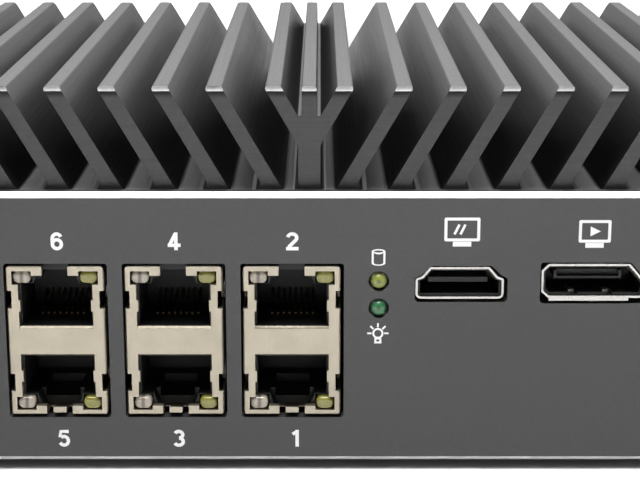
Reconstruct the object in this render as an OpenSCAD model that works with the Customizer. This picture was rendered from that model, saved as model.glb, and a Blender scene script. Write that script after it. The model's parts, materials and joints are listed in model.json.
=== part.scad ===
// Fanless firewall appliance: a finned aluminium lid, two side panels, two end plates and a bottom cover.
// The mainboard hangs upside down from the lid, so every socket hangs from the board's underside.
// Origin: centre of the footprint, on the surface it stands on. -Y is the network port side, +Z is up.

/* [Case] */
// Overall width across the end plates
case_w = 200; // [196:1:220]
// Depth from the face of the front plate to the face of the rear plate
case_d = 124; // [122:1:140]
// Height of both end plates
plate_h = 47.8; // [46.8:0.1:52]
// Thickness of both end plates
plate_t = 2.5; // [2:0.1:2.8]
// Bevel along the top and bottom outer edges of the end plates
plate_bevel = 0.85; // [0.4:0.05:1.2]
// Thickness of the side panels
side_t = 3; // [2.5:0.5:4]
// Thickness of the bottom cover
cover_t = 2; // [1.5:0.5:2.5]
// Height of the rubber feet
foot_h = 1.7; // [1.2:0.1:6]
// Radius of the rubber feet
foot_r = 8; // [5:0.5:9]

/* [Heatsink] */
// Thickness of the lid under the fins
slab_t = 5; // [4:0.5:6]
// Drop of the lid's top surface below the end plates' top edge
slab_drop = 0.7; // [0.2:0.1:1.5]
// Leaning fins on each side of the three-pronged middle fin
fins_per_side = 10; // [4:1:10]
// Spacing of the fins
fin_pitch = 9; // [8.5:0.1:9]
// Height of the fins above the lid's top surface
fin_h = 17.9; // [14:0.1:24]
// Thickness of a fin across its faces
fin_t = 2.5; // [2:0.1:2.8]
// Outward lean of the fins from upright
fin_lean = 30; // [20:1:30]
// Bevel along the end of each fin's crest
fin_bevel = 0.75; // [0.3:0.05:1.2]
// Distance that the fins stop short of the end plates
fin_setback = 1.4; // [0.4:0.1:4]

/* [Network jacks] */
// Centre of the left-hand jack stack
jack_x = -43; // [-44:0.5:-42]
// Spacing of the jack stacks
jack_pitch = 20; // [19:0.5:20.5]
// Height of the jacks' underside above the standing surface
jack_z = 10.2; // [9.8:0.1:10.4]
// Gap between a socket and its cutout
cutout_gap = 0.45; // [0.3:0.05:0.6]

/* [Buttons] */
// Travel of the power button
power_travel = 1; // [0.5:0.1:1.5]
// Travel of the recessed reset button
reset_travel = 0.3; // [0.2:0.05:0.4]

/* [Mounting] */
// Hole spacing of the square mounting pattern in the bottom cover
mount_pitch = 75; // [75, 100]
// Radius of the mounting holes
mount_r = 2; // [1.6:0.1:2.5]

/* [Hidden] */
$fn = 48;

// Reference planes
front_y = -case_d / 2;
rear_y = case_d / 2;
inner_front_y = front_y + plate_t;
inner_rear_y = rear_y - plate_t;
plate_z = foot_h;
plate_top_z = plate_z + plate_h;
cover_top_z = plate_z + cover_t;
slab_top_z = plate_top_z - slab_drop;
slab_z = slab_top_z - slab_t;
panel_x = case_w / 2 - side_t;
shell_l = case_d - 2 * plate_t;
proud = 1.5;
slack = 0.1;

// Screws: M3, countersunk or pan head
screw_r = 1.4;
hole_r = 1.5;
head_r = 2.8;
csk_h = 1.4;
pan_h = 1.8;
rail_w = 9;
rail_h = 8;
corner_x = panel_x - rail_w / 2;
upper_screw_z = slab_top_z - rail_h / 2;
lower_screw_z = cover_top_z + rail_h / 2;
screw_row = [-40, 0, 40];

// Three-pronged middle fin
prong_x = 1.25;
stem_x = 1.88;
slot_h = 13;
wing_root_h = 7.95;
root_r = 1;
crest_r = 0.35;
undercut_r = 1.5;

// Mainboard and what is on it
board_t = 1.6;
board_z = 37.2;
board_top_z = board_z + board_t;
board_x = panel_x - rail_w - 2;
board_edge = 1;
board_holes = [[-81, -36], [81, -36], [-81, 50], [81, 50], [-34, 50]];
boss_r = 3.5;
processor_at = [10, 10];
package_t = 1.4;
paste_t = 0.2;
block_w = 46;
block_holes = 18;

// Network jack stack: two ports, one above the other, in one shield
jack_w = 16.6;
jack_h = 26.6;
jack_l = 24;
sheet = 0.3;
front_wall = 1.2;
fold = 0.25;
port_x = 6.3;
port_near = 3.25;
port_far = 11;
lip = 0.38;
light_in = 4;
light_out = 7.3;
light_near = 0.9;
hook_x = 2.2;
hook_h = 1.67;
cavity_x = 5.95;
cavity_l = 15;
contact_pitch = 1.02;
contact_w = 0.4;
contact_y = 8;
notch_z = 4.35;
notch_w = 0.85;
notch_h = 3.1;
finger_in = 0.55;
finger_y = 6;
finger_z = 4.6;
finger_h = 2.6;
tab_x = 1.1;
tab_l = 4;
tab_z = [0.45, 1.45];
stack_x = [for (i = [0:2]) jack_x + i * jack_pitch];

// Status lights
led_x = 11.75;
led_z = [29.4, 34.15];
led_r = 1.5;
led_hole_r = 1.75;

// Video sockets
video_a_x = 25.4;
video_a_z = 31.1;
video_b_x = 48;
video_b_z = 31.25;
video_l = 12;
lining_y = 0.7;
lining_l = 10.6;
lining_gap = 0.05;
lining_t = 0.35;
block_z = 0.6;
tongue_a_z = 2.65;
tongue_b_x = -0.85;
tongue_b_z = 3.06;
spring_x = [-3.35, 2.5];
spring_y = 3.2;
spring_r = 0.42;
shell_t = 0.37;
video_a = [[7.45, 0, 0.9], [7.45, 3.5, 0.35], [6.4, 3.9, 0.3], [5, 5.55, 0.5]];
video_b = [[-7.6, 0, 0], [8, 0, 0], [8.8, 0.8, 0], [8.8, 2.8, 0], [6.05, 5.95, 0], [-7.65, 5.95, 0.3],
    [-8.8, 4.8, 0.3], [-8.8, 1.1, 0.3]];

// Stacked data sockets
data_w = 13.2;
data_h = 15.6;
data_l = 17.5;
data_z = board_z - data_h - 0.2;
data_slot = [12.4, 5.2];
data_slot_z = [1.3, 9.1];
data_front_x = -68;
data_rear_x = 30;
tongue_t = 1.9;

// Power button, reset button and power inlet
power_x = -64;
power_z = 26;
power_hole_r = 6;
cap_r = 5;
cap_gap = 0.3;
cap_l = 6;
bezel_r = 8;
spring_room = 3.5;
bezel_l = cap_l - proud + power_travel + spring_room;
reset_x = 65;
reset_z = 33;
pinhole_r = 1;
inlet_x = 79;
inlet_z = 30.5;
inlet_r = 4.2;
inlet_bore_r = 3.15;
inlet_pin_r = 1.25;
inlet_l = 10;
nut_t = 1.3;

// Rear plate details
plug_x = [-24, 66];
plug_r = 3.25;
ground_x = 84;
ground_z = 15;
lock_x = 48;

// ---- Outline helpers -------------------------------------------------------------------------------

// Unit vector from one point to another
function towards(a, b) = (b - a) / norm(b - a);

// Arc of radius r that rounds the corner at p between the directions a and b
function corner_arc(p, a, b, r) =
    let (steps = r < 0.5 ? 2 : 4,
        half = acos(a * b) / 2,
        centre = p + (a + b) / norm(a + b) * r / sin(half),
        first = p + a * r / tan(half) - centre,
        last = p + b * r / tan(half) - centre,
        sweep = 180 - 2 * half)
    [for (i = [0:steps])
        centre + (first * sin(sweep * (1 - i / steps)) + last * sin(sweep * i / steps)) / sin(sweep)];

// Outline whose points are [x, y, corner radius]
function softened(v) =
    [for (i = [0:len(v) - 1])
        let (n = len(v),
            p = [v[i].x, v[i].y],
            before = [v[(i + n - 1) % n].x, v[(i + n - 1) % n].y],
            after = [v[(i + 1) % n].x, v[(i + 1) % n].y])
        each v[i].z == 0 ? [p] : corner_arc(p, towards(p, before), towards(p, after), v[i].z)];

// A right-hand half outline followed by its mirror image
function both_sides(v) = concat(v, [for (i = [len(v) - 1:-1:0]) [-v[i].x, v[i].y, v[i].z]]);

// Rectangle with rounded corners, centred in x, standing on y = 0
function slot(w, h, r) = [[w / 2, 0, r], [w / 2, h, r], [-w / 2, h, r], [-w / 2, 0, r]];

// Outline in the XZ plane, extruded along +Y from y
module along_y(v, y, l) {
    translate([0, y + l, 0]) rotate([90, 0, 0]) linear_extrude(l) polygon(softened(v));
}

// Cylinder along +Y from y
module rod_y(x, y, z, r, l) {
    translate([x, y, z]) rotate([-90, 0, 0]) cylinder(h = l, r = r);
}

// Box centred in x, from depth y and height z
module block(x, y, z, size) {
    translate([x - size.x / 2, y, z]) cube(size);
}

// ---- Fasteners -------------------------------------------------------------------------------------

// Countersunk screw along -Z, its head's face at the origin, with a cross recess
module csk_screw(l) {
    difference() {
        union() {
            translate([0, 0, -csk_h]) cylinder(h = csk_h, r1 = screw_r, r2 = head_r);
            translate([0, 0, -l]) cylinder(h = l - csk_h / 2, r = screw_r);
        }
        recess();
    }
}

// Cross recess in a screw head
module recess() {
    for (a = [0, 90]) rotate(a) translate([-1.5, -0.3, -0.9]) cube([3, 0.6, 2]);
}

// Clearance for a countersunk screw along -Z
module csk_hole(l) {
    translate([0, 0, -csk_h - slack]) cylinder(h = csk_h + slack, r1 = hole_r, r2 = head_r + slack);
    translate([0, 0, -l]) cylinder(h = l, r = hole_r);
    cylinder(h = 1, r = head_r + slack);
}

// Pan head screw along +Z, the underside of its head at the origin
module pan_screw(l) {
    difference() {
        union() {
            translate([0, 0, -pan_h]) cylinder(h = pan_h, r1 = head_r - 0.4, r2 = head_r);
            translate([0, 0, -slack]) cylinder(h = l + slack, r = screw_r);
        }
        translate([0, 0, -pan_h]) mirror([0, 0, 1]) recess();
    }
}

// The four corners of an end plate, facing +Z out of the front face
module plate_corners() {
    for (x = [-corner_x, corner_x], z = [lower_screw_z, upper_screw_z])
        translate([x, front_y, z]) rotate([90, 0, 0]) children();
}

// The same features on the rear plate
module at_rear() {
    rotate(180) children();
}

// ---- Case ------------------------------------------------------------------------------------------

lean = tan(fin_lean);
fin_w = fin_t / cos(fin_lean);
first_root = 4.34;
wing_in = stem_x + (slot_h - wing_root_h) * lean - fin_w + (fin_h - slot_h) * lean;
wing_out = stem_x + (fin_h - wing_root_h) * lean;
middle_fin = [[prong_x, fin_h, crest_r], [prong_x, slot_h, 0.2], [stem_x + 0.05, slot_h, 0.2],
    [wing_in, fin_h, crest_r], [wing_out, fin_h, crest_r], [stem_x, wing_root_h, 0.8], [stem_x, 0, root_r]];
leaning_fins = [for (i = [0:fins_per_side - 1], p = [[0, 0, root_r], [fin_h * lean, fin_h, crest_r],
    [fin_h * lean + fin_w, fin_h, crest_r], [fin_w, 0, undercut_r]]) p + [first_root + fin_pitch * i, 0, 0]];
lid_edge = [[panel_x, 0, 0], [panel_x, -rail_h, 0], [panel_x - rail_w, -rail_h, 0],
    [panel_x - rail_w, -slab_t, 0]];

module heatsink() color([0.26, 0.27, 0.27]) {
    fin_y = inner_front_y + fin_setback;
    difference() {
        union() {
            translate([0, 0, slab_top_z])
                along_y(both_sides(concat(middle_fin, leaning_fins, lid_edge)), inner_front_y, shell_l);
            for (p = board_holes) translate([p.x, p.y, board_top_z])
                cylinder(h = slab_z - board_top_z + 1, r = boss_r);
        }
        for (m = [0, 1]) mirror([0, m, 0]) {
            translate([-case_w, inner_front_y - 1, slab_top_z]) cube([2 * case_w, fin_setback + 1, 2 * fin_h]);
            translate([0, fin_y, slab_top_z + fin_h - fin_bevel]) rotate([45, 0, 0])
                translate([-case_w, -5, 0]) cube([2 * case_w, 20, 5]);
        }
        for (p = board_holes) translate([p.x, p.y, board_top_z - 1]) cylinder(h = 8, r = hole_r);
        for (x = [-1, 1], y = [-1, 1])
            translate([processor_at.x + x * block_holes, processor_at.y + y * block_holes, slab_z - 1])
                cylinder(h = 4, r = hole_r);
        for (m = [0, 1]) mirror([0, m, 0])
            for (x = [-corner_x, corner_x]) rod_y(x, inner_front_y - 1, upper_screw_z, hole_r, 11);
        for (m = [0, 1], y = screw_row) mirror([m, 0, 0])
            translate([panel_x - 7, y, upper_screw_z]) rotate([0, 90, 0]) cylinder(h = 8, r = hole_r);
    }
}

module side_panel(m) color([0.2, 0.2, 0.2]) mirror([m, 0, 0]) difference() {
    union() {
        translate([panel_x, inner_front_y, cover_top_z]) cube([side_t, shell_l, slab_top_z - cover_top_z]);
        translate([panel_x - rail_w, inner_front_y, cover_top_z]) cube([rail_w + 1, shell_l, rail_h]);
    }
    for (n = [0, 1]) mirror([0, n, 0]) rod_y(corner_x, inner_front_y - 1, lower_screw_z, hole_r, 11);
    for (y = screw_row) {
        translate([corner_x, y, cover_top_z - 1]) cylinder(h = 7, r = hole_r);
        translate([case_w / 2, y, upper_screw_z]) rotate([0, 90, 0]) csk_hole(side_t + 1);
    }
}

module side_panel_left() side_panel(1);
module side_panel_right() side_panel(0);

// A bevelled end plate, seen as the front one
module plate_blank() {
    profile = [[0, plate_bevel, 0], [plate_bevel, 0, 0], [plate_t, 0, 0], [plate_t, plate_h, 0],
        [plate_bevel, plate_h, 0], [0, plate_h - plate_bevel, 0]];
    difference() {
        translate([-case_w / 2, front_y, plate_z]) rotate([90, 0, 90])
            linear_extrude(case_w) polygon(softened(profile));
        plate_corners() csk_hole(plate_t + 1);
    }
}

// A through cutout in an end plate: a rounded rectangle
module cutout(x, z, w, h, r = 0.5) {
    translate([x, 0, z]) along_y(slot(w, h, r), front_y - 1, plate_t + 2);
}

module front_plate() color([0.34, 0.35, 0.33]) difference() {
    plate_blank();
    for (x = stack_x)
        cutout(x + 0.1, jack_z - cutout_gap, jack_w + 2 * cutout_gap, jack_h + 2 * cutout_gap);
    for (z = led_z) rod_y(led_x, front_y - 1, z, led_hole_r, plate_t + 2);
    translate([video_a_x + 0.25, 0, video_a_z - 0.6])
        along_y(both_sides([[7.85, 0, 0.6], [7.85, 4.15, 0.3], [6.6, 4.85, 0], [5.1, 6.35, 0.3]]),
            front_y - 1, plate_t + 2);
    translate([video_b_x, 0, video_b_z - 1])
        along_y([[-9, 0, 0.6], [9.05, 0, 0.6], [9.05, 3.9, 0], [6.2, 7.2, 0], [-9, 7.2, 0.6]],
            front_y - 1, plate_t + 2);
    cutout(data_front_x, data_z - cutout_gap, data_w + 2 * cutout_gap, data_h + 2 * cutout_gap);
    rod_y(reset_x, front_y - 1, reset_z, pinhole_r, plate_t + 2);
    rod_y(inlet_x, front_y - 1, inlet_z, inlet_r + slack, plate_t + 2);
}

module rear_plate() color([0.34, 0.35, 0.33]) at_rear() difference() {
    plate_blank();
    cutout(-data_rear_x, data_z - cutout_gap, data_w + 2 * cutout_gap, data_h + 2 * cutout_gap);
    rod_y(-power_x, front_y - 1, power_z, power_hole_r, plate_t + 2);
    for (x = plug_x) rod_y(-x, front_y - 1, power_z, plug_r, plate_t + 2);
    rod_y(-ground_x, front_y - 1, ground_z, hole_r, plate_t + 2);
    cutout(-lock_x, ground_z - 1.5, 7, 3, 1.2);
}

module bottom_cover() color([0.22, 0.22, 0.22]) difference() {
    translate([-case_w / 2, inner_front_y, plate_z]) cube([case_w, shell_l, cover_t]);
    for (x = [-corner_x, corner_x], y = screw_row)
        translate([x, y, plate_z]) mirror([0, 0, 1]) csk_hole(cover_t + 1);
    for (x = [-0.5, 0.5], y = [-0.5, 0.5])
        translate([x * mount_pitch, y * mount_pitch, plate_z - 1]) cylinder(h = cover_t + 2, r = mount_r);
}

module feet() color([0.08, 0.08, 0.08]) {
    for (x = [-78, 78], y = [-44, 44]) translate([x, y, 0]) rotate_extrude()
        polygon(softened([[0, 0, 0], [foot_r - 1, 0, 0.6], [foot_r, foot_h, 0], [0, foot_h, 0]]));
}

module plate_screws() plate_corners() csk_screw(plate_t + 8);
module front_plate_screws() color("silver") plate_screws();
module rear_plate_screws() color("silver") at_rear() plate_screws();

module side_screws() color("silver") {
    for (m = [0, 1], y = screw_row) mirror([m, 0, 0])
        translate([case_w / 2, y, upper_screw_z]) rotate([0, 90, 0]) csk_screw(side_t + 5);
}

module cover_screws() color("silver") {
    for (x = [-corner_x, corner_x], y = screw_row)
        translate([x, y, plate_z]) mirror([0, 0, 1]) csk_screw(cover_t + 5);
}

// ---- Mainboard and cooling -------------------------------------------------------------------------

module mainboard() color([0.08, 0.24, 0.16]) difference() {
    translate([-board_x, inner_front_y + board_edge, board_z])
        cube([2 * board_x, shell_l - 2 * board_edge, board_t]);
    for (p = board_holes) translate([p.x, p.y, board_z - 1]) cylinder(h = board_t + 2, r = hole_r);
}

module mainboard_screws() color("silver") {
    for (p = board_holes) translate([p.x, p.y, board_z]) pan_screw(board_t + 5);
}

module processor() color([0.12, 0.3, 0.2]) {
    block(processor_at.x, processor_at.y - 12, board_top_z, [28, 24, package_t - 0.6]);
    block(processor_at.x, processor_at.y - 4, board_top_z + package_t - 0.6, [12, 8, 0.6]);
}

module thermal_paste() color([0.7, 0.7, 0.7])
    block(processor_at.x, processor_at.y - 4, board_top_z + package_t, [12, 8, paste_t]);

module heat_spreader() color([0.72, 0.45, 0.3]) {
    z = board_top_z + package_t + paste_t;
    difference() {
        block(processor_at.x, processor_at.y - block_w / 2, z, [block_w, block_w, slab_z - z]);
        for (x = [-1, 1], y = [-1, 1])
            translate([processor_at.x + x * block_holes, processor_at.y + y * block_holes, z])
                mirror([0, 0, 1]) csk_hole(slab_z - z + 1);
    }
}

module spreader_screws() color("silver") {
    z = board_top_z + package_t + paste_t;
    for (x = [-1, 1], y = [-1, 1])
        translate([processor_at.x + x * block_holes, processor_at.y + y * block_holes, z])
            mirror([0, 0, 1]) csk_screw(slab_z - z + 2.5);
}

// ---- Network jacks ---------------------------------------------------------------------------------

// Both ports of a stack: the lower one as drawn, with z counted from the bottom edge, and its mirror image
module both_ports() {
    children();
    translate([0, 0, jack_h]) mirror([0, 0, 1]) children();
}

port_window = both_sides([[hook_x, -1, 0], [hook_x, hook_h, 0], [light_in, hook_h, 0],
    [light_in, light_near, 0], [light_out, light_near, 0], [light_out, port_near, 0], [port_x, port_near, 0],
    [port_x, 6, 0], [port_x - 0.3, 6, 0], [port_x - 0.3, 8, 0], [port_x, 8, 0], [port_x, port_far, 0]]);

// The shield's front is folded double, so its wall is thicker than its sides. Each port's window has a rolled lip
// along its far edge, and a grounding tab stands in the lower port's mouth.
module jack_shield(i) color([0.8, 0.76, 0.68]) translate([stack_x[i], front_y, jack_z]) {
    difference() {
        along_y(slot(jack_w, jack_h, 0.8), 0, jack_l);
        block(0, front_wall, sheet, [jack_w - 2 * sheet, jack_l, jack_h - 2 * sheet]);
        both_ports() along_y(port_window, -1, front_wall + 1.2);
        both_ports() {
            for (m = [0, 1]) mirror([m, 0, 0])
                translate([jack_w / 2 - notch_w, -1, notch_z]) cube([2, 8, notch_h]);
            block(0, -1, -1, [2 * hook_x, tab_l + 1, 2]);
        }
        for (m = [0, 1]) mirror([m, 0, 0])
            translate([jack_w / 2 - fold, 0, -1]) rotate(-45) cube([2, 2, jack_h + 2]);
        both_ports() translate([-jack_w, 0, fold]) rotate([-135, 0, 0]) cube([2 * jack_w, 2, 2]);
    }
    both_ports() {
        translate([-port_x, 0, 0]) rotate([90, 0, 90]) linear_extrude(2 * port_x)
            polygon([[0, port_far], [lip, port_far - lip], [lip, port_far + 0.3], [0, port_far + 0.3]]);
        translate([jack_w / 2 - finger_in, finger_y, finger_z]) cube([0.35, 5, finger_h]);
    }
    translate([-tab_x, 0, 0]) rotate([90, 0, 90]) linear_extrude(2 * tab_x)
        polygon([[0, tab_z[0]], [0, tab_z[1]], [sheet, tab_z[1]], [sheet, tab_z[0] + sheet],
            [tab_l + 0.5, sheet], [tab_l + 0.5, 0], [tab_l, 0], [sheet, tab_z[0]]]);
    for (x = [-6, 6], y = [8, 18]) block(x, y, jack_h, [1, 1, board_z - jack_z - jack_h]);
}

module jack_housing(i) color([0.09, 0.09, 0.09]) translate([stack_x[i], front_y, jack_z]) {
    inset = sheet + 0.05;
    face = front_wall + sheet;
    difference() {
        block(0, face, inset, [jack_w - 2 * inset, jack_l - face - 0.4, jack_h - 2 * inset]);
        both_ports() {
            block(0, 0, port_near + 0.15, [2 * cavity_x, cavity_l, port_far - port_near - 0.3]);
            block(0, 0, 1.9, [6, 12, 2]);
            along_y(both_sides([[hook_x, -1, 0], [light_in - slack, port_near + 0.3, 0]]), 0, tab_l + 0.7);
            for (m = [0, 1]) mirror([m, 0, 0]) {
                translate([light_in, -1, light_near]) cube([light_out - light_in, 20, port_near - light_near]);
                translate([jack_w / 2 - notch_w - 0.05, 0, notch_z - 0.05]) cube([1, 12, notch_h + 0.1]);
            }
        }
    }
}

module jack_contacts(i) color([0.85, 0.68, 0.3]) translate([stack_x[i], front_y, jack_z]) both_ports()
    for (n = [0:7]) translate([(n - 3.5) * contact_pitch - contact_w / 2, 0, 0]) rotate([90, 0, 90])
        linear_extrude(contact_w)
            polygon([[contact_y, port_far - 0.4], [cavity_l, 8], [cavity_l, 8.25], [contact_y, port_far - 0.15]]);

module jack_lights(i) translate([stack_x[i], front_y, jack_z]) both_ports() {
    size = [light_out - light_in - 0.2, 18, port_near - light_near - 0.2];
    middle = (light_in + light_out) / 2;
    color([0.78, 0.76, 0.72]) block(-middle, 0.2, light_near + 0.1, size);
    color([0.66, 0.68, 0.25]) block(middle, 0.2, light_near + 0.1, size);
}

module jack_left_shield() jack_shield(0);
module jack_left_housing() jack_housing(0);
module jack_left_contacts() jack_contacts(0);
module jack_left_lights() jack_lights(0);
module jack_middle_shield() jack_shield(1);
module jack_middle_housing() jack_housing(1);
module jack_middle_contacts() jack_contacts(1);
module jack_middle_lights() jack_lights(1);
module jack_right_shield() jack_shield(2);
module jack_right_housing() jack_housing(2);
module jack_right_contacts() jack_contacts(2);
module jack_right_lights() jack_lights(2);

// ---- Status lights ---------------------------------------------------------------------------------

module status_led(z) translate([led_x, front_y, z]) {
    rod_y(0, led_r - 0.3, 0, led_r, 4);
    translate([0, led_r - 0.3, 0]) sphere(r = led_r);
    rod_y(0, plate_t + 0.5, 0, led_r + 0.4, 0.8);
}

module status_led_upper() color([0.62, 0.65, 0.22]) status_led(led_z[1]);
module status_led_lower() color([0.2, 0.55, 0.32]) status_led(led_z[0]);

module led_holder() color([0.08, 0.08, 0.08]) difference() {
    block(led_x, inner_front_y + 0.4, led_z[0] - 2.5, [5, 8, board_z - led_z[0] + 2.5]);
    for (z = led_z) {
        rod_y(led_x, inner_front_y, z, led_r + 0.5, 1.5);
        rod_y(led_x, inner_front_y, z, led_r + 0.1, 4);
    }
}

// ---- Video sockets ---------------------------------------------------------------------------------

// Tube along +Y from y: the wall of thickness t just inside an outline that is pulled in by inset
module sleeve(v, y, l, inset, t) {
    translate([0, y + l, 0]) rotate([90, 0, 0]) linear_extrude(l) difference() {
        offset(delta = -inset) polygon(softened(v));
        offset(delta = -inset - t) polygon(softened(v));
    }
}

// Folded sheet shell, closed at the back
module folded_shell(v) {
    sleeve(v, 0, video_l, 0, shell_t);
    along_y(v, video_l - shell_t, shell_t);
}

module video_socket_a_shell() color([0.82, 0.8, 0.76]) translate([video_a_x, front_y, video_a_z]) {
    leg_z = video_a[3].y - shell_t / 2;
    folded_shell(both_sides(video_a));
    for (x = [-4, 4]) block(x, 6, leg_z, [1, 3, board_z - video_a_z - leg_z]);
}

module video_socket_a_insert() color([0.12, 0.12, 0.12]) translate([video_a_x, front_y, video_a_z]) {
    sleeve(both_sides(video_a), lining_y, lining_l, shell_t + lining_gap, lining_t);
    block(-0.25, 1.2, tongue_a_z, [10, 8, 0.85]);
    block(0, 8.5, block_z, [13.6, 2.5, 2.6]);
}

module video_socket_b_shell() color([0.82, 0.8, 0.76]) translate([video_b_x, front_y, video_b_z]) {
    folded_shell(video_b);
    translate([-7.5, 0, -0.5]) cube([13.5, 0.8, 0.6]);
    for (x = spring_x) translate([x - 0.5, spring_y, spring_r]) rotate([0, 90, 0]) cylinder(h = 1, r = spring_r);
}

module video_socket_b_insert() color([0.12, 0.12, 0.12]) translate([video_b_x, front_y, video_b_z]) {
    difference() {
        union() {
            sleeve(video_b, lining_y, lining_l, shell_t + lining_gap, lining_t);
            block(tongue_b_x, 1.4, tongue_b_z, [11.5, 8, 1.44]);
            block(-0.3, 8.5, block_z, [14.6, 2.5, 3.6]);
        }
        block(tongue_b_x, 0, tongue_b_z + 0.44, [10.5, 2.4, 1.2]);
        for (x = spring_x) block(x, 0, 0, [1.6, spring_y + 1, 1]);
    }
}

// ---- Data sockets ----------------------------------------------------------------------------------

module data_shell() color([0.82, 0.8, 0.76]) {
    difference() {
        block(0, 0, 0, [data_w, data_l, data_h]);
        block(0, sheet, sheet, [data_w - 2 * sheet, data_l, data_h - 2 * sheet]);
        for (z = data_slot_z) block(0, -1, z, [data_slot.x, 2, data_slot.y]);
    }
    for (x = [-5, 5], y = [5, 13]) block(x, y, data_h, [1, 1, board_z - data_z - data_h]);
}

module data_insert() color([0.1, 0.1, 0.1]) {
    inset = sheet + 0.05;
    difference() {
        block(0, 2 * sheet, inset, [data_w - 2 * inset, data_l - 1, data_h - 2 * inset]);
        for (z = data_slot_z) block(0, 0, z, [data_slot.x - 0.2, 12, data_slot.y]);
    }
    for (z = data_slot_z) block(0, 1.5, z + 0.5, [11, 11, tongue_t]);
}

module data_socket_front_shell() translate([data_front_x, front_y, data_z]) data_shell();
module data_socket_front_insert() translate([data_front_x, front_y, data_z]) data_insert();
module data_socket_rear_shell() at_rear() translate([-data_rear_x, front_y, data_z]) data_shell();
module data_socket_rear_insert() at_rear() translate([-data_rear_x, front_y, data_z]) data_insert();

// ---- Power and reset buttons -----------------------------------------------------------------------

// The power button is drawn on the front and turned to the rear
module power_button_bezel() color([0.75, 0.75, 0.75]) at_rear() difference() {
    union() {
        rod_y(-power_x, front_y - 1, power_z, bezel_r, 1);
        rod_y(-power_x, front_y - 1, power_z, power_hole_r - slack, bezel_l + 1);
    }
    rod_y(-power_x, front_y - 2, power_z, cap_r + cap_gap, bezel_l + 3);
}

module power_button_cap() color([0.6, 0.6, 0.6]) at_rear()
    rod_y(-power_x, front_y - proud, power_z, cap_r, cap_l);

module power_switch() color([0.1, 0.1, 0.1]) at_rear() {
    rod_y(-power_x, front_y + bezel_l, power_z, power_hole_r - slack, 8);
    for (x = [-3, 3]) block(-power_x + x, front_y + bezel_l + 8, power_z - 1.4, [0.5, 5, 2.8]);
}

module power_button_nut() color("silver") at_rear() difference() {
    rod_y(-power_x, inner_front_y, power_z, bezel_r + 0.5, 2.5);
    rod_y(-power_x, inner_front_y - 1, power_z, power_hole_r, 5);
}

module reset_button() color([0.1, 0.1, 0.1]) rod_y(reset_x, inner_front_y + 0.5, reset_z, 1, 2.2);

module reset_switch() color([0.2, 0.2, 0.2]) difference() {
    union() {
        block(reset_x, inner_front_y + 1.5, reset_z - 3, [6, 4, 6]);
        for (x = [-2.2, 2.2]) block(reset_x + x, inner_front_y + 3, reset_z + 2, [0.8, 0.6, board_z - reset_z - 2]);
    }
    rod_y(reset_x, inner_front_y, reset_z, pinhole_r + 0.3, 2.7 + reset_travel + 0.3);
}

// ---- Power inlet -----------------------------------------------------------------------------------

module power_inlet() color([0.09, 0.09, 0.09]) difference() {
    union() {
        rod_y(inlet_x, front_y - proud, inlet_z, inlet_r, inlet_l);
        block(inlet_x, inner_front_y + 0.2, inlet_z - 5.5, [11, 12, board_z - inlet_z + 5.5]);
    }
    rod_y(inlet_x, front_y - 2, inlet_z, inlet_bore_r, inlet_l + 1);
}

module power_inlet_pin() color([0.85, 0.75, 0.5])
    rod_y(inlet_x, front_y + 0.5, inlet_z, inlet_pin_r, inlet_l - 1.5);

module power_inlet_nut() color([0.75, 0.75, 0.75]) difference() {
    translate([inlet_x, front_y - nut_t, inlet_z]) rotate([-90, 0, 0]) cylinder(h = nut_t, r = 6.4, $fn = 6);
    rod_y(inlet_x, front_y - 3, inlet_z, inlet_r + 0.05, 5);
}

// ---- Parts under the board -------------------------------------------------------------------------

memory_at = [-42, -22];
memory_z = board_z - 4;

module memory_socket() color([0.1, 0.1, 0.1]) difference() {
    union() {
        block(memory_at.x, memory_at.y, memory_z, [73, 6, 4]);
        for (x = [-35.5, 35.5]) block(memory_at.x + x, memory_at.y + 5, memory_z, [2, 22, 4]);
    }
    block(memory_at.x, memory_at.y + 2, memory_z + 1.4, [67.8, 30, 1.4]);
}

module memory_module() color([0.07, 0.25, 0.16]) {
    block(memory_at.x, memory_at.y + 2.2, memory_z + 1.5, [67.6, 30, 1.2]);
    for (x = [-24, -8, 8, 24]) block(memory_at.x + x, memory_at.y + 14, memory_z + 0.5, [12, 10, 1]);
}

storage_at = [80, -8];

module storage_socket() color([0.1, 0.1, 0.1]) difference() {
    block(storage_at.x, storage_at.y - 11, board_z - 4.2, [6, 22, 4.2]);
    block(storage_at.x - 3, storage_at.y - 12, board_z - 3, [6, 24, 1.1]);
}

module storage_module() color([0.07, 0.25, 0.16]) difference() {
    union() {
        translate([storage_at.x - 80, storage_at.y - 11, board_z - 2.9]) cube([80, 22, 0.9]);
        for (x = [-64, -46, -26]) translate([storage_at.x + x, storage_at.y - 7, board_z - 3.9])
            cube([14, 14, 1.1]);
    }
    translate([storage_at.x - 80, storage_at.y, board_z - 5]) cylinder(h = 5, r = 1.9);
}

module storage_screw() color("gold") translate([storage_at.x - 80, storage_at.y, 0]) {
    translate([0, 0, board_z - 2.9]) cylinder(h = 2.9, r = 1.7);
    translate([0, 0, board_z - 4]) cylinder(h = 1.1, r = 2.6);
}

coin_at = [-52, 32];

module coin_cell() color("silver") translate([coin_at.x, coin_at.y, board_z - 4.4]) cylinder(h = 3.2, r = 10);

module coin_cell_holder() color([0.12, 0.12, 0.12]) translate([coin_at.x, coin_at.y, board_z - 5])
    difference() {
        cylinder(h = 5, r = 11.5);
        translate([0, 0, -1]) cylinder(h = 4.9, r = 10.2);
        block(0, -13, -1, [6, 26, 4.9]);
    }

module network_chips() color([0.1, 0.1, 0.11]) {
    for (x = stack_x, s = [-4.5, 4.5]) block(x + s, -35, board_z - 0.9, [6, 6, 0.9]);
}

module chokes() color([0.3, 0.3, 0.32]) {
    for (x = [-32, -24, 44, 52], y = [-8, 4, 16]) block(x, y, board_top_z, [6.6, 6.6, 3.6]);
}

// ---- Rear plate fittings ---------------------------------------------------------------------------

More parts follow.
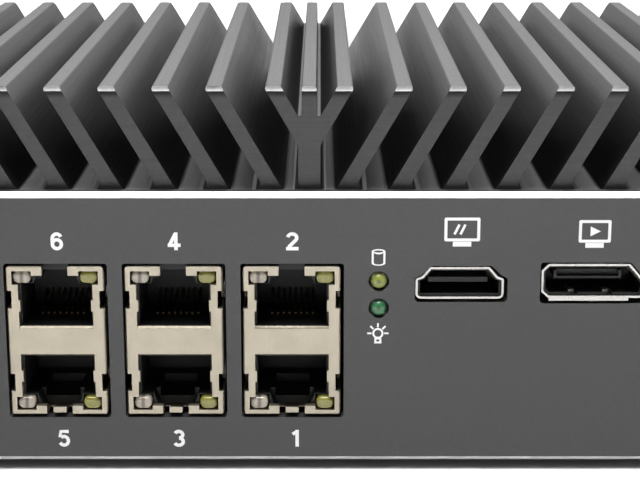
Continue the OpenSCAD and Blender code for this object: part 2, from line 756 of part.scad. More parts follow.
module hole_plugs() color([0.08, 0.08, 0.08]) at_rear() for (x = plug_x) {
    rod_y(-x, front_y - 0.8, power_z, plug_r + 1.2, 0.8);
    rod_y(-x, front_y, power_z, plug_r - slack, plate_t + 1.5);
}

module grounding_screw() color("silver") at_rear() translate([-ground_x, front_y, ground_z])
    rotate([-90, 0, 0]) {
        difference() {
            translate([0, 0, -proud]) cylinder(h = proud, r1 = head_r - 0.4, r2 = head_r);
            translate([0, 0, -proud]) mirror([0, 0, 1]) recess();
        }
        translate([0, 0, -slack]) cylinder(h = 6, r = screw_r);
    }

// ---- Assembly --------------------------------------------------------------------------------------

heatsink();
side_panel_left();
side_panel_right();
front_plate();
rear_plate();
bottom_cover();
feet();
front_plate_screws();
rear_plate_screws();
side_screws();
cover_screws();
mainboard();
mainboard_screws();
processor();
thermal_paste();
heat_spreader();
spreader_screws();
jack_left_shield();
jack_left_housing();
jack_left_contacts();
jack_left_lights();
jack_middle_shield();
jack_middle_housing();
jack_middle_contacts();
jack_middle_lights();
jack_right_shield();
jack_right_housing();
jack_right_contacts();
jack_right_lights();
status_led_upper();
status_led_lower();
led_holder();
video_socket_a_shell();
video_socket_a_insert();
video_socket_b_shell();
video_socket_b_insert();
data_socket_front_shell();
data_socket_front_insert();
data_socket_rear_shell();
data_socket_rear_insert();
power_button_bezel();
power_button_cap();
power_switch();
power_button_nut();
reset_button();
reset_switch();
power_inlet();
power_inlet_pin();
power_inlet_nut();
memory_socket();
memory_module();
storage_socket();
storage_module();
storage_screw();
coin_cell();
coin_cell_holder();
network_chips();
chokes();
hole_plugs();
grounding_screw();
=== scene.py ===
import json
import math

import bmesh
import bpy
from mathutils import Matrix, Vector


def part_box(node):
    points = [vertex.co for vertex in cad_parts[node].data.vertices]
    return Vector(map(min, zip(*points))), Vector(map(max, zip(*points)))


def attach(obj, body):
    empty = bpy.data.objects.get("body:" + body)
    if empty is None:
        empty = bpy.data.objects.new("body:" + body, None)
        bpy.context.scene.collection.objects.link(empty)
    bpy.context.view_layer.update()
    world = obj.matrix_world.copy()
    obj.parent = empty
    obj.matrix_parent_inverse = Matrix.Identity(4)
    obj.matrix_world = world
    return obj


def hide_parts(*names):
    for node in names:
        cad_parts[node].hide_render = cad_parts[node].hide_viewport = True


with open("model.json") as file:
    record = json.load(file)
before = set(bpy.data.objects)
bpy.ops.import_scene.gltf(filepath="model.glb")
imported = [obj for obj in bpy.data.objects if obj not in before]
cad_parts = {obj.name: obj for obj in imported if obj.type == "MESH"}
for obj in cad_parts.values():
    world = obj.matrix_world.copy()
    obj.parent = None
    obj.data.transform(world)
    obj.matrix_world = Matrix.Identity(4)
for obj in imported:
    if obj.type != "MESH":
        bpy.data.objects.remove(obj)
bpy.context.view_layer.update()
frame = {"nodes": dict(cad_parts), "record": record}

# Looks for a fanless firewall appliance. The CAD nodes keep their shape and get finishes and rounded edges.
# The network jacks' light pipes and the printing on the front plate are built here. Lengths are in metres, in
# the frame of the CAD model, unless a name or comment says millimetres.

MM = 0.001
CASE = "case"


# ---- Node helpers ----------------------------------------------------------------------------------

class Finish:
    """A node material under construction, with short calls for the nodes it uses."""

    def __init__(self, name):
        self.material = bpy.data.materials.new(name)
        self.material.use_nodes = True
        self.nodes = self.material.node_tree.nodes
        self.links = self.material.node_tree.links
        self.shader = self.nodes["Principled BSDF"]
        self.bump_chain = None

    def add(self, kind, settings=None, **inputs):
        """A node of that kind, its settings and inputs filled in; sockets given as inputs are linked."""
        node = self.nodes.new(kind)
        for key, value in (settings or {}).items():
            setattr(node, key, value)
        for key, value in inputs.items():
            self.feed(node, key.replace("_", " "), value)
        return node

    def feed(self, node, key, value):
        """Sets or links one input, named or counted."""
        socket = node.inputs[int(key) if key.isdigit() else key]
        if isinstance(value, bpy.types.NodeSocket):
            self.links.new(value, socket)
        else:
            socket.default_value = value

    def math(self, operation, *values):
        """One operation on one or more values."""
        node = self.add("ShaderNodeMath", {"operation": operation})
        for i, value in enumerate(values):
            self.feed(node, str(i), value)
        return node.outputs[0]

    def product(self, first, *others):
        """Several values multiplied together."""
        for other in others:
            first = self.math("MULTIPLY", first, other)
        return first

    def place(self, scale=(1, 1, 1)):
        """Object coordinates in millimetres, stretched by scale."""
        coordinates = self.add("ShaderNodeTexCoord").outputs["Object"]
        mapping = self.add("ShaderNodeMapping", Vector=coordinates)
        mapping.inputs["Scale"].default_value = [s / MM for s in scale]
        return mapping.outputs[0]

    def noise(self, per_mm, scale=(1, 1, 1), detail=3.0):
        """Noise of about per_mm features in a millimetre."""
        node = self.add("ShaderNodeTexNoise", Vector=self.place(scale), Scale=per_mm, Detail=detail)
        node.inputs["Roughness"].default_value = 0.55
        return node.outputs["Fac"]

    def spread(self, value, low, high, start=0.3, end=0.7):
        """Maps start..end of a value to low..high."""
        node = self.add("ShaderNodeMapRange", Value=value)
        for key, number in (("From Min", start), ("From Max", end), ("To Min", low), ("To Max", high)):
            node.inputs[key].default_value = number
        return node.outputs[0]

    def mix(self, factor, a, b):
        """Colour a where factor is 0, colour b where it is 1."""
        node = self.add("ShaderNodeMix", {"data_type": "RGBA"})
        self.feed(node, "0", factor)
        self.feed(node, "6", a)
        self.feed(node, "7", b)
        return node.outputs[2]

    def ramp(self, value, *stops):
        """A colour ramp; each stop is (position, colour)."""
        node = self.add("ShaderNodeValToRGB", Fac=value)
        elements = node.color_ramp.elements
        while len(elements) < len(stops):
            elements.new(1.0)
        for element, (position, colour) in zip(elements, stops):
            element.position = position
            element.color = colour
        return node.outputs["Color"]

    def tinted(self, colour, tone):
        """A colour scaled by a number."""
        node = self.add("ShaderNodeVectorMath", {"operation": "SCALE"})
        self.feed(node, "0", colour if isinstance(colour, bpy.types.NodeSocket) else colour[:3])
        self.feed(node, "Scale", tone)
        return node.outputs[0]

    def along(self, axis):
        """One object coordinate in millimetres."""
        return self.add("ShaderNodeSeparateXYZ", Vector=self.place()).outputs[axis]

    def radius(self, x, z):
        """Distance in millimetres from a line along Y through (x, z), which are in metres."""
        dx = self.math("SUBTRACT", self.along("X"), x / MM)
        dz = self.math("SUBTRACT", self.along("Z"), z / MM)
        square = self.math("ADD", self.product(dx, dx), self.product(dz, dz))
        return self.math("SQRT", square)

    def facing(self, axis, low, high):
        """1 on flat faces whose normal leans along an axis by between low and high, either way round."""
        normal = self.add("ShaderNodeNewGeometry").outputs["True Normal"]
        parts = self.add("ShaderNodeSeparateXYZ", Vector=normal)
        size = self.math("ABSOLUTE", parts.outputs[axis])
        over = self.math("GREATER_THAN", size, low)
        under = self.math("LESS_THAN", size, high)
        return self.math("MULTIPLY", over, under)

    def bump(self, height, depth_mm, strength):
        """Adds a bump whose height runs over depth_mm."""
        node = self.add("ShaderNodeBump", Height=height, Strength=strength)
        node.inputs["Distance"].default_value = depth_mm * MM
        if self.bump_chain:
            self.links.new(self.bump_chain, node.inputs["Normal"])
        self.bump_chain = node.outputs["Normal"]
        self.links.new(self.bump_chain, self.shader.inputs["Normal"])

    def surface(self, **inputs):
        """Sets the shader's inputs."""
        for key, value in inputs.items():
            self.feed(self.shader, key.replace("_", " "), value)


def grey(level, warmth=0.0):
    """A neutral colour, warmer as warmth rises."""
    return (level * (1 + warmth), level, level * (1 - warmth), 1)


# ---- Finishes --------------------------------------------------------------------------------------

# Indices of refraction
ANODISED_IOR = 1.6
CLEAR_IOR = 1.5

# Ranges of one part of a face's normal: for a bevel at 45 degrees, and for a face square to the axis
BEVELLED = (0.5, 0.85)
SQUARE = (0.9, 1.01)

# Greys of the extrusion: its cut ends, and painted light added on its flanks near the crests and on its faces
# that look up
END_TONE = 0.017
PAINTED_CREST_LIGHT = 0.1
PAINTED_TOP_LIGHT = 0.135

# The width of a network jack's light pipe
PIPE_WIDTH = 3.1 * MM

# Platings and lenses
NICKEL = (0.5, 0.49, 0.465, 1)
SHIELD = (0.45, 0.405, 0.325, 1)
CLEAR = (0.37, 0.33, 0.27, 1)
TINTED = (0.21, 0.2, 0.03, 1)


def anodised(name, level, warmth=-0.01, bare_bevels=False):
    """Blasted and anodised aluminium; with bare_bevels, the slanting edges were milled afterwards."""
    f = Finish(name)
    speckle = f.spread(f.noise(3.2, detail=4.0), 0.86, 1.14)
    cloud = f.spread(f.noise(0.04), 0.96, 1.04)
    colour = f.tinted(grey(level, warmth), f.product(speckle, cloud))
    rough = f.spread(f.noise(1.8), 0.37, 0.47)
    if bare_bevels:
        bare = f.facing("Z", *BEVELLED)
        scratch = f.spread(f.noise(3.0, scale=(0.06, 1, 1)), 0.82, 1.0)
        colour = f.mix(bare, colour, f.tinted(grey(0.92), scratch))
        rough = f.math("ADD", rough, f.product(bare, 0.05))
        f.surface(Metallic=bare)
    f.surface(Base_Color=colour, Roughness=rough, IOR=ANODISED_IOR)
    f.bump(f.noise(5.0, detail=4.0), 0.02, 0.35)
    return f.material


def extruded(name, level):
    """Black anodised extrusion: draw lines along Y, saw marks across the cut ends, and painted light and
    shade: flanks lighter towards the crests and dark low in the channels and beside the middle fin, faces
    that look up lighter, bevels round the cut ends painted as highlights, and a painted dark band under
    them at the crests."""
    f = Finish(name)
    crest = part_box("heatsink")[1][2] / MM
    height = f.along("Z")
    ends = f.facing("Y", *SQUARE)
    highlit_bevel = f.facing("Y", *BEVELLED)
    upward = f.facing("Z", *SQUARE)
    lines = f.noise(2.2, scale=(1, 0.012, 1), detail=5.0)
    saw = f.noise(3.0, scale=(0.05, 1, 1))
    speckle = f.spread(f.noise(3.5, detail=4.0), 0.7, 1.3)

    # Drawn faces, with painted light and shade: lighter towards the crests and where they look up, dark low
    # in the channels, and painted dark in the slots beside the middle fin
    painted_crest_light = f.math("POWER", f.spread(height, 0.0, 1.0, crest - 10.0, crest), 2.0)
    painted_slot_shade = f.spread(f.math("ABSOLUTE", f.along("X")), 0.15, 1.0, 3.5, 8.0)
    painted_light = f.math("MAXIMUM", f.product(painted_crest_light, painted_slot_shade, PAINTED_CREST_LIGHT), f.product(upward, PAINTED_TOP_LIGHT))
    streak = f.spread(lines, 0.88, 1.12)
    drawn = f.tinted(grey(1.0), f.product(f.math("ADD", painted_light, level), speckle, streak))

    # Cut ends, with a painted band of shade, darker and partly metallic, just under the crest bevels
    painted_band_shade = f.product(ends, f.spread(height, 0.0, 1.0, crest - 1.9, crest - 1.1))
    shade = f.product(speckle, f.spread(saw, 0.7, 1.3), f.spread(painted_band_shade, 1.0, 0.5, 0.0, 1.0))
    cut = f.tinted(grey(END_TONE), shade)

    # Bevels painted as a highlight: lighter and partly metallic, brightest low down, darkest where they meet
    # the crests, with saw marks
    wear = f.product(f.spread(height, 0.16, 0.05, crest - 0.75, crest - 0.3), f.spread(saw, 0.8, 1.2))
    bevel_highlight = f.tinted(grey(1.0), wear)

    f.surface(Base_Color=f.mix(highlit_bevel, f.mix(ends, drawn, cut), bevel_highlight))
    f.surface(Metallic=f.math("ADD", f.product(highlit_bevel, 0.5), f.product(painted_band_shade, 0.7)))
    f.surface(Roughness=f.spread(lines, 0.36, 0.46), IOR=ANODISED_IOR)
    f.bump(lines, 0.02, 0.35)
    f.bump(f.noise(5.0), 0.012, 0.3)
    return f.material


def plated(name, colour, roughness=0.3, fold_shade_tone=1.0):
    """Plated sheet metal with faint rolling lines and handling marks; its last argument paints shade on the
    slanting folds, darkening them.
    """
    f = Finish(name)
    rolled = f.noise(3.0, scale=(1, 1, 0.15), detail=5.0)
    smudge = f.noise(0.25, detail=2.0)
    # Painted shade: the slanting folds are made darker by the last argument
    painted_fold_shade = f.spread(f.facing("Z", *BEVELLED), 1.0, fold_shade_tone, 0.0, 1.0)
    tone = f.product(f.spread(smudge, 0.93, 1.04), painted_fold_shade)
    f.surface(Base_Color=f.tinted(colour, tone), Metallic=1.0)
    f.surface(Roughness=f.spread(rolled, roughness - 0.06, roughness + 0.08))
    f.bump(rolled, 0.012, 0.3)
    f.bump(smudge, 0.05, 0.15)
    return f.material


def moulded(name, level, roughness):
    """Moulded plastic with a fine spark-eroded texture and a little dust."""
    f = Finish(name)
    texture = f.noise(8.0, detail=2.0)
    dust = f.spread(f.noise(0.9, detail=4.0), 0.85, 1.3)
    f.surface(Base_Color=f.tinted(grey(level), dust))
    f.surface(Roughness=f.spread(texture, roughness - 0.07, roughness + 0.1))
    f.bump(texture, 0.02, 0.4)
    return f.material


def rubber(name):
    """Matt moulded rubber with fine pitting."""
    f = Finish(name)
    pits = f.noise(4.0, detail=4.0)
    f.surface(Base_Color=f.mix(f.spread(pits, 0, 1), grey(0.012), grey(0.03)))
    f.surface(Roughness=f.spread(pits, 0.75, 0.9))
    f.bump(pits, 0.05, 0.5)
    return f.material


def powder_coat(name, level):
    """Black powder coat: orange peel and pinhead grain."""
    f = Finish(name)
    peel = f.noise(1.4, detail=2.0)
    grain = f.noise(6.0)
    f.surface(Base_Color=f.mix(f.spread(grain, 0, 1), grey(level * 0.8), grey(level * 1.25)))
    f.surface(Roughness=f.spread(peel, 0.42, 0.58))
    f.bump(peel, 0.05, 0.5)
    f.bump(grain, 0.015, 0.4)
    return f.material


def turned(name, level, roughness=0.28):
    """Turned or headed steel with fine tool marks."""
    f = Finish(name)
    marks = f.noise(9.0, scale=(1, 0.3, 1))
    f.surface(Base_Color=f.mix(f.spread(marks, 0, 1), grey(level * 0.9), grey(level)), Metallic=1.0)
    f.surface(Roughness=f.spread(marks, roughness - 0.08, roughness + 0.1))
    f.bump(marks, 0.01, 0.4)
    return f.material


def gold(name):
    """Gold-flashed contact metal, the gold gone down to nickel in places."""
    f = Finish(name)
    wear = f.noise(2.0, detail=4.0)
    f.surface(Base_Color=f.mix(f.spread(wear, 0, 1, 0.5, 0.75), (0.42, 0.29, 0.11, 1), (0.34, 0.3, 0.24, 1)))
    f.surface(Metallic=1.0, Roughness=f.spread(wear, 0.2, 0.38))
    f.bump(wear, 0.01, 0.3)
    return f.material


def laminate(name):
    """Circuit board: solder mask with faint copper tracks under it."""
    f = Finish(name)
    tracks = f.add("ShaderNodeTexBrick", Vector=f.place((1, 1, 0)), Scale=0.35)
    tracks.inputs["Mortar Size"].default_value = 0.06
    mask = f.mix(tracks.outputs["Fac"], (0.012, 0.07, 0.04, 1), (0.02, 0.13, 0.07, 1))
    f.surface(Base_Color=mask, Roughness=f.spread(f.noise(2.0), 0.25, 0.4))
    f.bump(tracks.outputs["Fac"], 0.03, 0.5)
    return f.material


def glassy(f, roughness):
    """Gives a finish a clear coat over a diffusing body."""
    f.surface(Roughness=roughness, IOR=CLEAR_IOR, Coat_Weight=1.0, Coat_Roughness=0.04)


def dimmed(colour, factor):
    """A colour made darker."""
    return tuple(factor * part for part in colour[:3]) + (1,)


def status_lens(name, node, centre, body, rim):
    """Unlit lens: a dark chip in the middle, a lighter ring, and painted shade at the rim, where the hole
    round the lens shades it.
    """
    f = Finish(name)
    low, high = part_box(node)
    reach = f.radius((low[0] + high[0]) / 2, (low[2] + high[2]) / 2)
    haze = f.spread(f.noise(2.5), 0.9, 1.1)
    # The last stop is painted shade at the lens's edge, from the hole round it
    rings = f.ramp(f.spread(reach, 0.0, 1.0, 0.0, 1.7), (0.0, centre), (0.16, centre), (0.3, body),
                   (0.6, body), (0.78, rim), (0.86, rim), (0.95, dimmed(body, 0.3)))
    f.surface(Base_Color=f.tinted(rings, haze))
    glassy(f, 0.3)
    f.bump(f.noise(1.2), 0.02, 0.15)
    return f.material


def pipe_lens(name, colour, streak, side):
    """Light pipe: a milky bar with a streak down the middle of its face. side is -1 for the pipes on the left
    of each jack and 1 for those on the right."""
    f = Finish(name)
    low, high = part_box("jack_left_lights")
    pitch = (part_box("jack_middle_lights")[0][0] - low[0]) / MM
    centre = ((low[0] if side < 0 else high[0]) - side * PIPE_WIDTH / 2) / MM
    wrapped = f.math("WRAP", f.math("SUBTRACT", f.along("X"), centre), pitch / 2, -pitch / 2)
    across = f.math("ABSOLUTE", wrapped)
    haze = f.spread(f.noise(1.6), 0.85, 1.12)
    face = f.ramp(f.spread(across, 0.0, 1.0, 0.0, 1.6), (0.0, streak), (0.1, streak), (0.3, colour),
                  (0.75, colour), (0.97, dimmed(colour, 0.5)))
    f.surface(Base_Color=f.tinted(face, haze))
    glassy(f, 0.25)
    f.bump(f.noise(0.9), 0.05, 0.3)
    return f.material


def ink(name):
    """White screen-printing ink: thin, slightly uneven."""
    f = Finish(name)
    cover = f.noise(7.0, detail=4.0)
    f.surface(Base_Color=f.mix(f.spread(cover, 0, 1), grey(0.78), grey(0.92)))
    f.surface(Roughness=f.spread(cover, 0.45, 0.6))
    f.bump(cover, 0.01, 0.3)
    return f.material


FINISHES = {
    "anodised_lid": lambda name: extruded(name, 0.005),
    "anodised_case": lambda name: anodised(name, 0.03),
    "anodised_plate": lambda name: anodised(name, 0.032, warmth=0.0, bare_bevels=True),
    "painted_cover": lambda name: powder_coat(name, 0.025),
    "foot_rubber": rubber,
    "black_steel": lambda name: turned(name, 0.12, 0.35),
    "screw_steel": lambda name: turned(name, 0.6),
    "board_laminate": laminate,
    "chip_package": lambda name: moulded(name, 0.03, 0.5),
    "thermal_compound": lambda name: moulded(name, 0.5, 0.6),
    "spreader_metal": lambda name: turned(name, 0.75, 0.3),
    "lens_yellow": lambda name: status_lens(name, "status_led_upper", (0.075, 0.11, 0.006, 1),
                                            (0.22, 0.25, 0.04, 1), (0.27, 0.29, 0.11, 1)),
    "lens_green": lambda name: status_lens(name, "status_led_lower", (0.003, 0.06, 0.015, 1),
                                           (0.02, 0.15, 0.05, 1), (0.09, 0.18, 0.1, 1)),
    "black_plastic": lambda name: moulded(name, 0.004, 0.5),
    "nickel_shell": lambda name: plated(name, NICKEL),
    "jack_shield": lambda name: plated(name, SHIELD, 0.42, 0.3),
    "button_steel": lambda name: turned(name, 0.55, 0.3),
    "contact_metal": gold,
    "choke_ferrite": lambda name: moulded(name, 0.08, 0.6),
    "jack_light": lambda name: pipe_lens(name, CLEAR, (0.15, 0.12, 0.1, 1), -1),
}
finish = {name: make(name) for name, make in FINISHES.items()}
finish["jack_light_tinted"] = pipe_lens("jack_light_tinted", TINTED, TINTED, 1)
finish["print_ink"] = ink("print_ink")


# ---- CAD nodes: finishes and rounded edges ---------------------------------------------------------

# Edge rounding in millimetres; a node that isn't listed gets the smallest, and 0 leaves a node's edges as cut
ROUNDING = {"heatsink": 0.12, "side_panel_left": 0.2, "side_panel_right": 0.2, "front_plate": 0,
            "rear_plate": 0, "bottom_cover": 0.2, "feet": 0.3, "power_button_bezel": 0.25,
            "power_button_cap": 0.3, "power_inlet": 0.2, "power_inlet_nut": 0.15, "hole_plugs": 0.2,
            "video_socket_a_shell": 0.12, "video_socket_b_shell": 0.12}
SMALLEST_ROUNDING = 0.05


def round_edges(piece, width_mm):
    """Welds the imported faces and rounds the sharp edges, without leaving the CAD shape."""
    weld = piece.modifiers.new("weld", "WELD")
    weld.merge_threshold = 0.001 * MM
    bevel = piece.modifiers.new("round", "BEVEL")
    bevel.width = width_mm * MM
    bevel.segments = 2
    bevel.limit_method = "ANGLE"
    bevel.angle_limit = math.radians(25)
    bevel.use_clamp_overlap = True


for part in frame["record"]["subparts"]:
    piece = frame["nodes"][part["node"]]
    piece.data.materials.clear()
    piece.data.materials.append(finish[part["material_slot"]])
    width = ROUNDING.get(part["node"], SMALLEST_ROUNDING)
    if width:
        round_edges(piece, width)


# ---- Pieces made here ------------------------------------------------------------------------------

def middle(node):
    """Centre of a CAD node's box."""
    low, high = (Vector(corner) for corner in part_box(node))
    return (low + high) / 2


PLATE_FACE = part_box("front_plate")[0][1]
PRINT_THICKNESS = 0.02 * MM


def join_case(piece, slot, *replaced):
    """Puts a piece made here on the case and hides the CAD nodes that it stands in for. slot is not used."""
    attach(piece, CASE)
    if replaced:
        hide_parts(*replaced)


def mesh_piece(name, mesh_data, material_names):
    """A mesh object with those finishes."""
    piece = bpy.data.objects.new(name, mesh_data)
    bpy.context.collection.objects.link(piece)
    for material_name in material_names:
        mesh_data.materials.append(finish[material_name])
    return piece


def on_plate(vertices, x, z, lift=0.0):
    """Stands flat vertices up on the front plate's face at (x, z), to read from the front."""
    for vertex in vertices:
        flat = vertex.co.copy()
        vertex.co = (x + flat.x, PLATE_FACE - lift - flat.z, z + flat.y)


def flat_print(name, outlines, x, z):
    """A thin printed mark on the front plate. outlines are closed loops of (x, z) points in millimetres round
    its centre; a loop inside another is a hole."""
    curve = bpy.data.curves.new(name, "CURVE")
    curve.dimensions = "2D"
    curve.fill_mode = "BOTH"
    curve.extrude = PRINT_THICKNESS / 2
    for outline in outlines:
        spline = curve.splines.new("POLY")
        spline.points.add(len(outline) - 1)
        spline.use_cyclic_u = True
        for point, (px, pz) in zip(spline.points, outline):
            point.co = (px * MM, pz * MM, 0, 1)
    source = bpy.data.objects.new(name + "_outline", curve)
    bpy.context.collection.objects.link(source)
    evaluated = source.evaluated_get(bpy.context.evaluated_depsgraph_get())
    mesh_data = bpy.data.meshes.new_from_object(evaluated)
    bpy.data.objects.remove(source)
    mesh_data.materials.clear()
    on_plate(mesh_data.vertices, x, z, PRINT_THICKNESS / 2)
    join_case(mesh_piece(name, mesh_data, ["print_ink"]), "anodised_plate")


def arc(cx, cz, rx, rz, start, end, steps=16):
    """Points along an ellipse, angles in degrees."""
    angles = [math.radians(start + (end - start) * i / steps) for i in range(steps + 1)]
    return [(cx + rx * math.cos(a), cz + rz * math.sin(a)) for a in angles]


def rounded_box(w, h, r):
    """A rounded rectangle's outline round the origin."""
    x, z = w / 2 - r, h / 2 - r
    corners = ((x, z, 0), (-x, z, 90), (-x, -z, 180), (x, -z, 270))
    return [p for px, pz, a in corners for p in arc(px, pz, r, r, a, a + 90, 5)]


def bar(ax, az, bx, bz, width):
    """A straight stroke with square ends."""
    along = Vector((bx - ax, bz - az)).normalized() * width / 2
    side = (-along.y, along.x)
    return [(ax + side[0], az + side[1]), (ax - side[0], az - side[1]),
            (bx - side[0], bz - side[1]), (bx + side[0], bz + side[1])]


# Port numbers, over and under the jack stacks. Each digit is a few strokes of one width, on a grid where a
# round digit is 1 wide and 2 high. Each stroke lies LIFT over the one before, so that none share a face.
DIGIT_SIZE = Vector((1.5, 1.55)) * MM
STROKE = 0.6 * MM
LIFT = 0.001 * MM
DIGITS = {
    "1": [[(0.12, 0.99), (0.12, -0.99)], [(-0.4, 0.48), (0.08, 0.78)]],
    "2": [[*arc(0, 0.4, 0.5, 0.43, 172, -30, 12), (-0.42, -0.66)], [(-0.7, -0.82), (0.7, -0.82)]],
    "3": [arc(-0.03, 0.42, 0.46, 0.4, 155, -85, 12), arc(-0.03, -0.4, 0.5, 0.43, 85, -155, 12)],
    "4": [[(0.2, 0.99), (0.2, -0.99)], [(-0.72, -0.44), (0.72, -0.44)], [(-0.5, -0.4), (0.14, 0.82)]],
    "5": [[(0.55, 0.81), (-0.36, 0.81), (-0.46, 0.12)], arc(-0.02, -0.3, 0.5, 0.52, 128, -155, 12)],
    "6": [arc(0, -0.32, 0.5, 0.5, -180, 180, 24), [(-0.5, -0.32), *arc(0, 0.28, 0.5, 0.54, 180, 25, 10)]],
}


def ribbon(mesh, points, width, height):
    """A flat strip of one width along points, at a height over the mesh's XY plane."""
    path = [Vector(point) for point in points]
    sides = []
    for i, point in enumerate(path):
        before = path[max(i - 1, 0)]
        after = path[min(i + 1, len(path) - 1)]
        along = (after - before).normalized()
        out = Vector((-along.y, along.x)) * width / 2
        sides.append((mesh.verts.new((*(point + out), height)), mesh.verts.new((*(point - out), height))))
    for (a, b), (c, d) in zip(sides, sides[1:]):
        mesh.faces.new((a, b, d, c))


def port_number(digit, x, z):
    """One digit as thin print on the front plate."""
    mesh = bmesh.new()
    for layer, stroke in enumerate(DIGITS[digit]):
        ribbon(mesh, [(px * DIGIT_SIZE.x, pz * DIGIT_SIZE.y) for px, pz in stroke], STROKE, layer * LIFT)
    bmesh.ops.recalc_face_normals(mesh, faces=mesh.faces)
    skin = bmesh.ops.extrude_face_region(mesh, geom=mesh.faces[:])["geom"]
    bmesh.ops.translate(mesh, vec=(0, 0, PRINT_THICKNESS), verts=[g for g in skin if hasattr(g, "co")])
    bmesh.ops.recalc_face_normals(mesh, faces=mesh.faces)
    on_plate(mesh.verts, x, z)
    name = "port_number_" + digit
    data = bpy.data.meshes.new(name)
    mesh.to_mesh(data)
    mesh.free()
    join_case(mesh_piece(name, data, ["print_ink"]), "anodised_plate")


# How far a number's middle is over or under its jack, and how far right of the jack's middle, in millimetres
NUMBER_OVER = 4.7
NUMBER_UNDER = 4.65
NUMBER_SHIFT = {"6": 0.62, "5": 0.53, "4": 0.3, "3": 0.42, "2": 0.15, "1": 0.66}

for stack, (upper, lower) in {"left": "65", "middle": "43", "right": "21"}.items():
    low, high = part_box(f"jack_{stack}_housing")
    x = (low[0] + high[0]) / 2
    port_number(upper, x + NUMBER_SHIFT[upper] * MM, high[2] + NUMBER_OVER * MM)
    port_number(lower, x + NUMBER_SHIFT[lower] * MM, low[2] - NUMBER_UNDER * MM)


# Icons, drawn in millimetres round their own middles
def beside(node, right, up):
    """The point that many millimetres right of and over a node's middle."""
    centre = middle(node)
    return centre.x + right * MM, centre.z + up * MM


def disk_icon(x, z):
    """A stack of disks, drawn as a cylinder seen from slightly above."""
    w, h, line, tilt = 1.15, 1.45, 0.34, 0.42
    top = h - tilt
    outer = arc(0, top, w, tilt, 0, 180) + arc(0, -top, w, tilt, 180, 360)
    lid = arc(0, top, w - line, tilt - 0.24, 0, 360)[:-1]
    face = (arc(0, top - 0.1, w - line, -(tilt - 0.02), 0, 180)
            + arc(0, -top + 0.1, w - line, tilt - 0.1, 180, 360))
    flat_print("disk_icon", [outer, lid, face], x, z)


def lamp_icon(x, z):
    """A lamp bulb with five rays."""
    bulb_z, r, line = 0.1, 0.95, 0.33
    opening = 38
    bulb = arc(0, bulb_z, r, r, -90 + opening, 270 - opening, 24)
    base = [(-0.62, -1.7), (0.62, -1.7)]
    glass = arc(0, bulb_z, r - line, r - line, 0, 360, 24)[:-1]
    foot = [(-0.24, -1.36), (-0.24, -1.0), (0.24, -1.0), (0.24, -1.36)]
    flat_print("lamp_icon", [bulb + base, glass, foot], x, z)
    rays = []
    for angle in (0, 45, 90, 135, 180):
        across, up = math.cos(math.radians(angle)), math.sin(math.radians(angle))
        near, far = r + 0.12, 1.82
        rays.append(bar(near * across, bulb_z + near * up, far * across, bulb_z + far * up, 0.3))
    flat_print("lamp_icon_rays", rays, x, z)


def screen_icon(name, x, z, w, h, marks):
    """A monitor: a frame on a stand, with plain marks on its screen."""
    border = 0.5
    outer = rounded_box(w, h, 0.3)
    screen = rounded_box(w - 2 * border, h - 2 * border, 0.12)
    half, top, bottom = 1.55, -h / 2 - 0.05, -h / 2 - 0.9
    stand = [(-half, bottom), (half, bottom), (half, top), (-half, top)]
    flat_print(name, [outer, screen, stand] + marks, x, z)


GLINTS = [bar(-1.3 + shift, -0.85, -0.5 + shift, 0.85, 0.42) for shift in (0.0, 1.0)]
PLAY_MARK = [[(-0.75, -0.85), (-0.75, 0.85), (0.95, 0.0)]]
disk_icon(*beside("status_led_upper", -0.1, 4.2))
lamp_icon(*beside("status_led_lower", -0.1, -4.55))
screen_icon("screen_icon_a", *beside("video_socket_a_shell", 0.25, 9.05), 6.0, 4.1, GLINTS)
screen_icon("screen_icon_b", *beside("video_socket_b_shell", -0.1, 8.9), 5.4, 3.9, PLAY_MARK)


# Light pipes at the corners of the jack stacks: bars with rounded sides and domed faces, clear on the left
# and tinted on the right. DOME gives, for each ring, its depth in millimetres and its share of the width.
PIPE_HEIGHT = 2.15 * MM
PIPE_CORNER = 0.95 * MM
DOME = [(0.0, 0.25), (0.04, 0.6), (0.14, 0.82), (0.32, 0.95), (0.6, 1.0)]


def light_pipes(stack):
    """The four light pipes of one jack stack, in place of its plain CAD bars."""
    low, high = (Vector(corner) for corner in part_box(f"jack_{stack}_lights"))
    outline = rounded_box(PIPE_WIDTH, PIPE_HEIGHT, PIPE_CORNER)
    mesh = bmesh.new()
    for side, x in ((0, low.x + PIPE_WIDTH / 2), (1, high.x - PIPE_WIDTH / 2)):
        for z in (low.z + PIPE_HEIGHT / 2, high.z - PIPE_HEIGHT / 2):
            depths = [(low.y + back * MM, scale) for back, scale in DOME] + [(high.y, 1.0)]
            rings = [[mesh.verts.new((x + px * scale, y, z + pz * scale)) for px, pz in outline]
                     for y, scale in depths]
            faces = [mesh.faces.new(rings[0]), mesh.faces.new(rings[-1][::-1])]
            for near, far in zip(rings, rings[1:]):
                for i in range(len(outline)):
                    faces.append(mesh.faces.new((near[i - 1], near[i], far[i], far[i - 1])))
            for face in faces:
                face.material_index = side
                face.smooth = True
    bmesh.ops.recalc_face_normals(mesh, faces=mesh.faces)
    data = bpy.data.meshes.new(f"jack_{stack}_light_pipes")
    mesh.to_mesh(data)
    mesh.free()
    piece = mesh_piece(f"jack_{stack}_light_pipes", data, ["jack_light", "jack_light_tinted"])
    join_case(piece, "jack_light", f"jack_{stack}_lights")


for stack in ("left", "middle", "right"):
    light_pipes(stack)


# ---- Stage, light and camera -----------------------------------------------------------------------

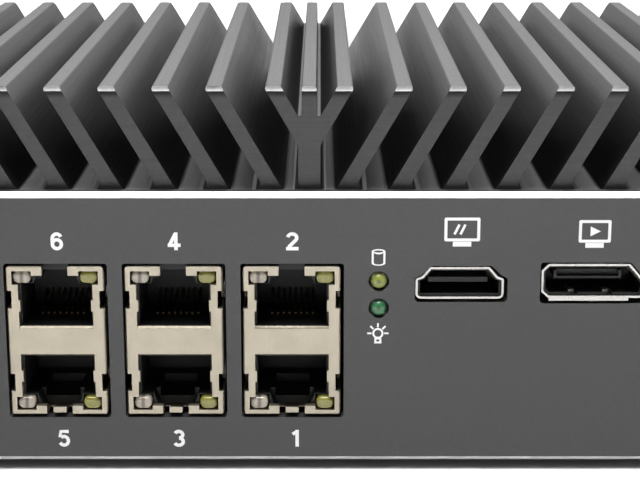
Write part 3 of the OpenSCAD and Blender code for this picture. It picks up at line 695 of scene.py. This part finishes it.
def flat_emitter(name, size, place, target, power, spread=180):
    """A rectangular light of that size at a place, pointed at a target; spread is its cone in degrees."""
    light = bpy.data.lights.new(name, "AREA")
    light.shape = "RECTANGLE"
    light.size, light.size_y = size
    light.energy = power
    light.spread = math.radians(spread)
    lamp = bpy.data.objects.new(name, light)
    lamp.location = place
    lamp.rotation_euler = (Vector(target) - Vector(place)).to_track_quat("-Z", "Y").to_euler()
    bpy.context.collection.objects.link(lamp)


FLOOR_REACH = 6.0
WORLD_STRENGTH = 0.16


def studio():
    """White paper, a dim white surround and four lights."""
    corners = [(-1, -1), (1, -1), (1, 1), (-1, 1)]
    floor_mesh = bpy.data.meshes.new("floor")
    floor_mesh.from_pydata([(x * FLOOR_REACH, y * FLOOR_REACH, 0) for x, y in corners], [], [(0, 1, 2, 3)])
    floor = bpy.data.objects.new("floor", floor_mesh)
    bpy.context.collection.objects.link(floor)
    f = Finish("floor_paper")
    f.surface(Base_Color=grey(0.82), Roughness=0.8)
    f.bump(f.noise(0.8), 0.02, 0.1)
    floor_mesh.materials.append(f.material)

    world = bpy.data.worlds.new("studio")
    world.use_nodes = True
    background = world.node_tree.nodes["Background"]
    background.inputs["Color"].default_value = (1, 1, 1, 1)
    background.inputs["Strength"].default_value = WORLD_STRENGTH
    bpy.context.scene.world = world

    # The overhead light is narrow and in front, so that the channels between the fins stay dark
    flat_emitter("overhead", (1.8, 0.9), (0, -0.58, 1.2), (0, -0.58, 0), 17, 60)
    flat_emitter("backdrop_light", (2.4, 0.8), (0, 1.05, 1.2), (0, 1.05, 0), 30, 50)
    flat_emitter("back_glow", (2.4, 0.8), (0, 2.0, 0.7), (0, 0, 0.05), 6)
    flat_emitter("catch_light", (0.12, 0.06), (-0.05, -1.0, 0.42), (0, 0, 0.03), 0.2)
    bpy.context.scene.view_settings.view_transform = "Standard"


# Camera: above and in front of the port plate, looking down a little, with a long lens
CAMERA_BACK = 279.8 * MM
CAMERA_HEIGHT = 115.2 * MM
CAMERA_SIDE = 1.8 * MM
CAMERA_DOWN = 14.78
CAMERA_LENS = 97.0
SENSOR_WIDTH = 36.0


def camera():
    """A camera in front of the plate, a little right of its middle."""
    data = bpy.data.cameras.new("camera")
    data.lens = CAMERA_LENS
    data.sensor_width = SENSOR_WIDTH
    data.clip_start = 0.01
    view = bpy.data.objects.new("camera", data)
    view.location = (CAMERA_SIDE, PLATE_FACE - CAMERA_BACK, CAMERA_HEIGHT)
    view.rotation_euler = (math.radians(90 - CAMERA_DOWN), 0, 0)
    bpy.context.collection.objects.link(view)
    bpy.context.scene.camera = view


studio()
camera()
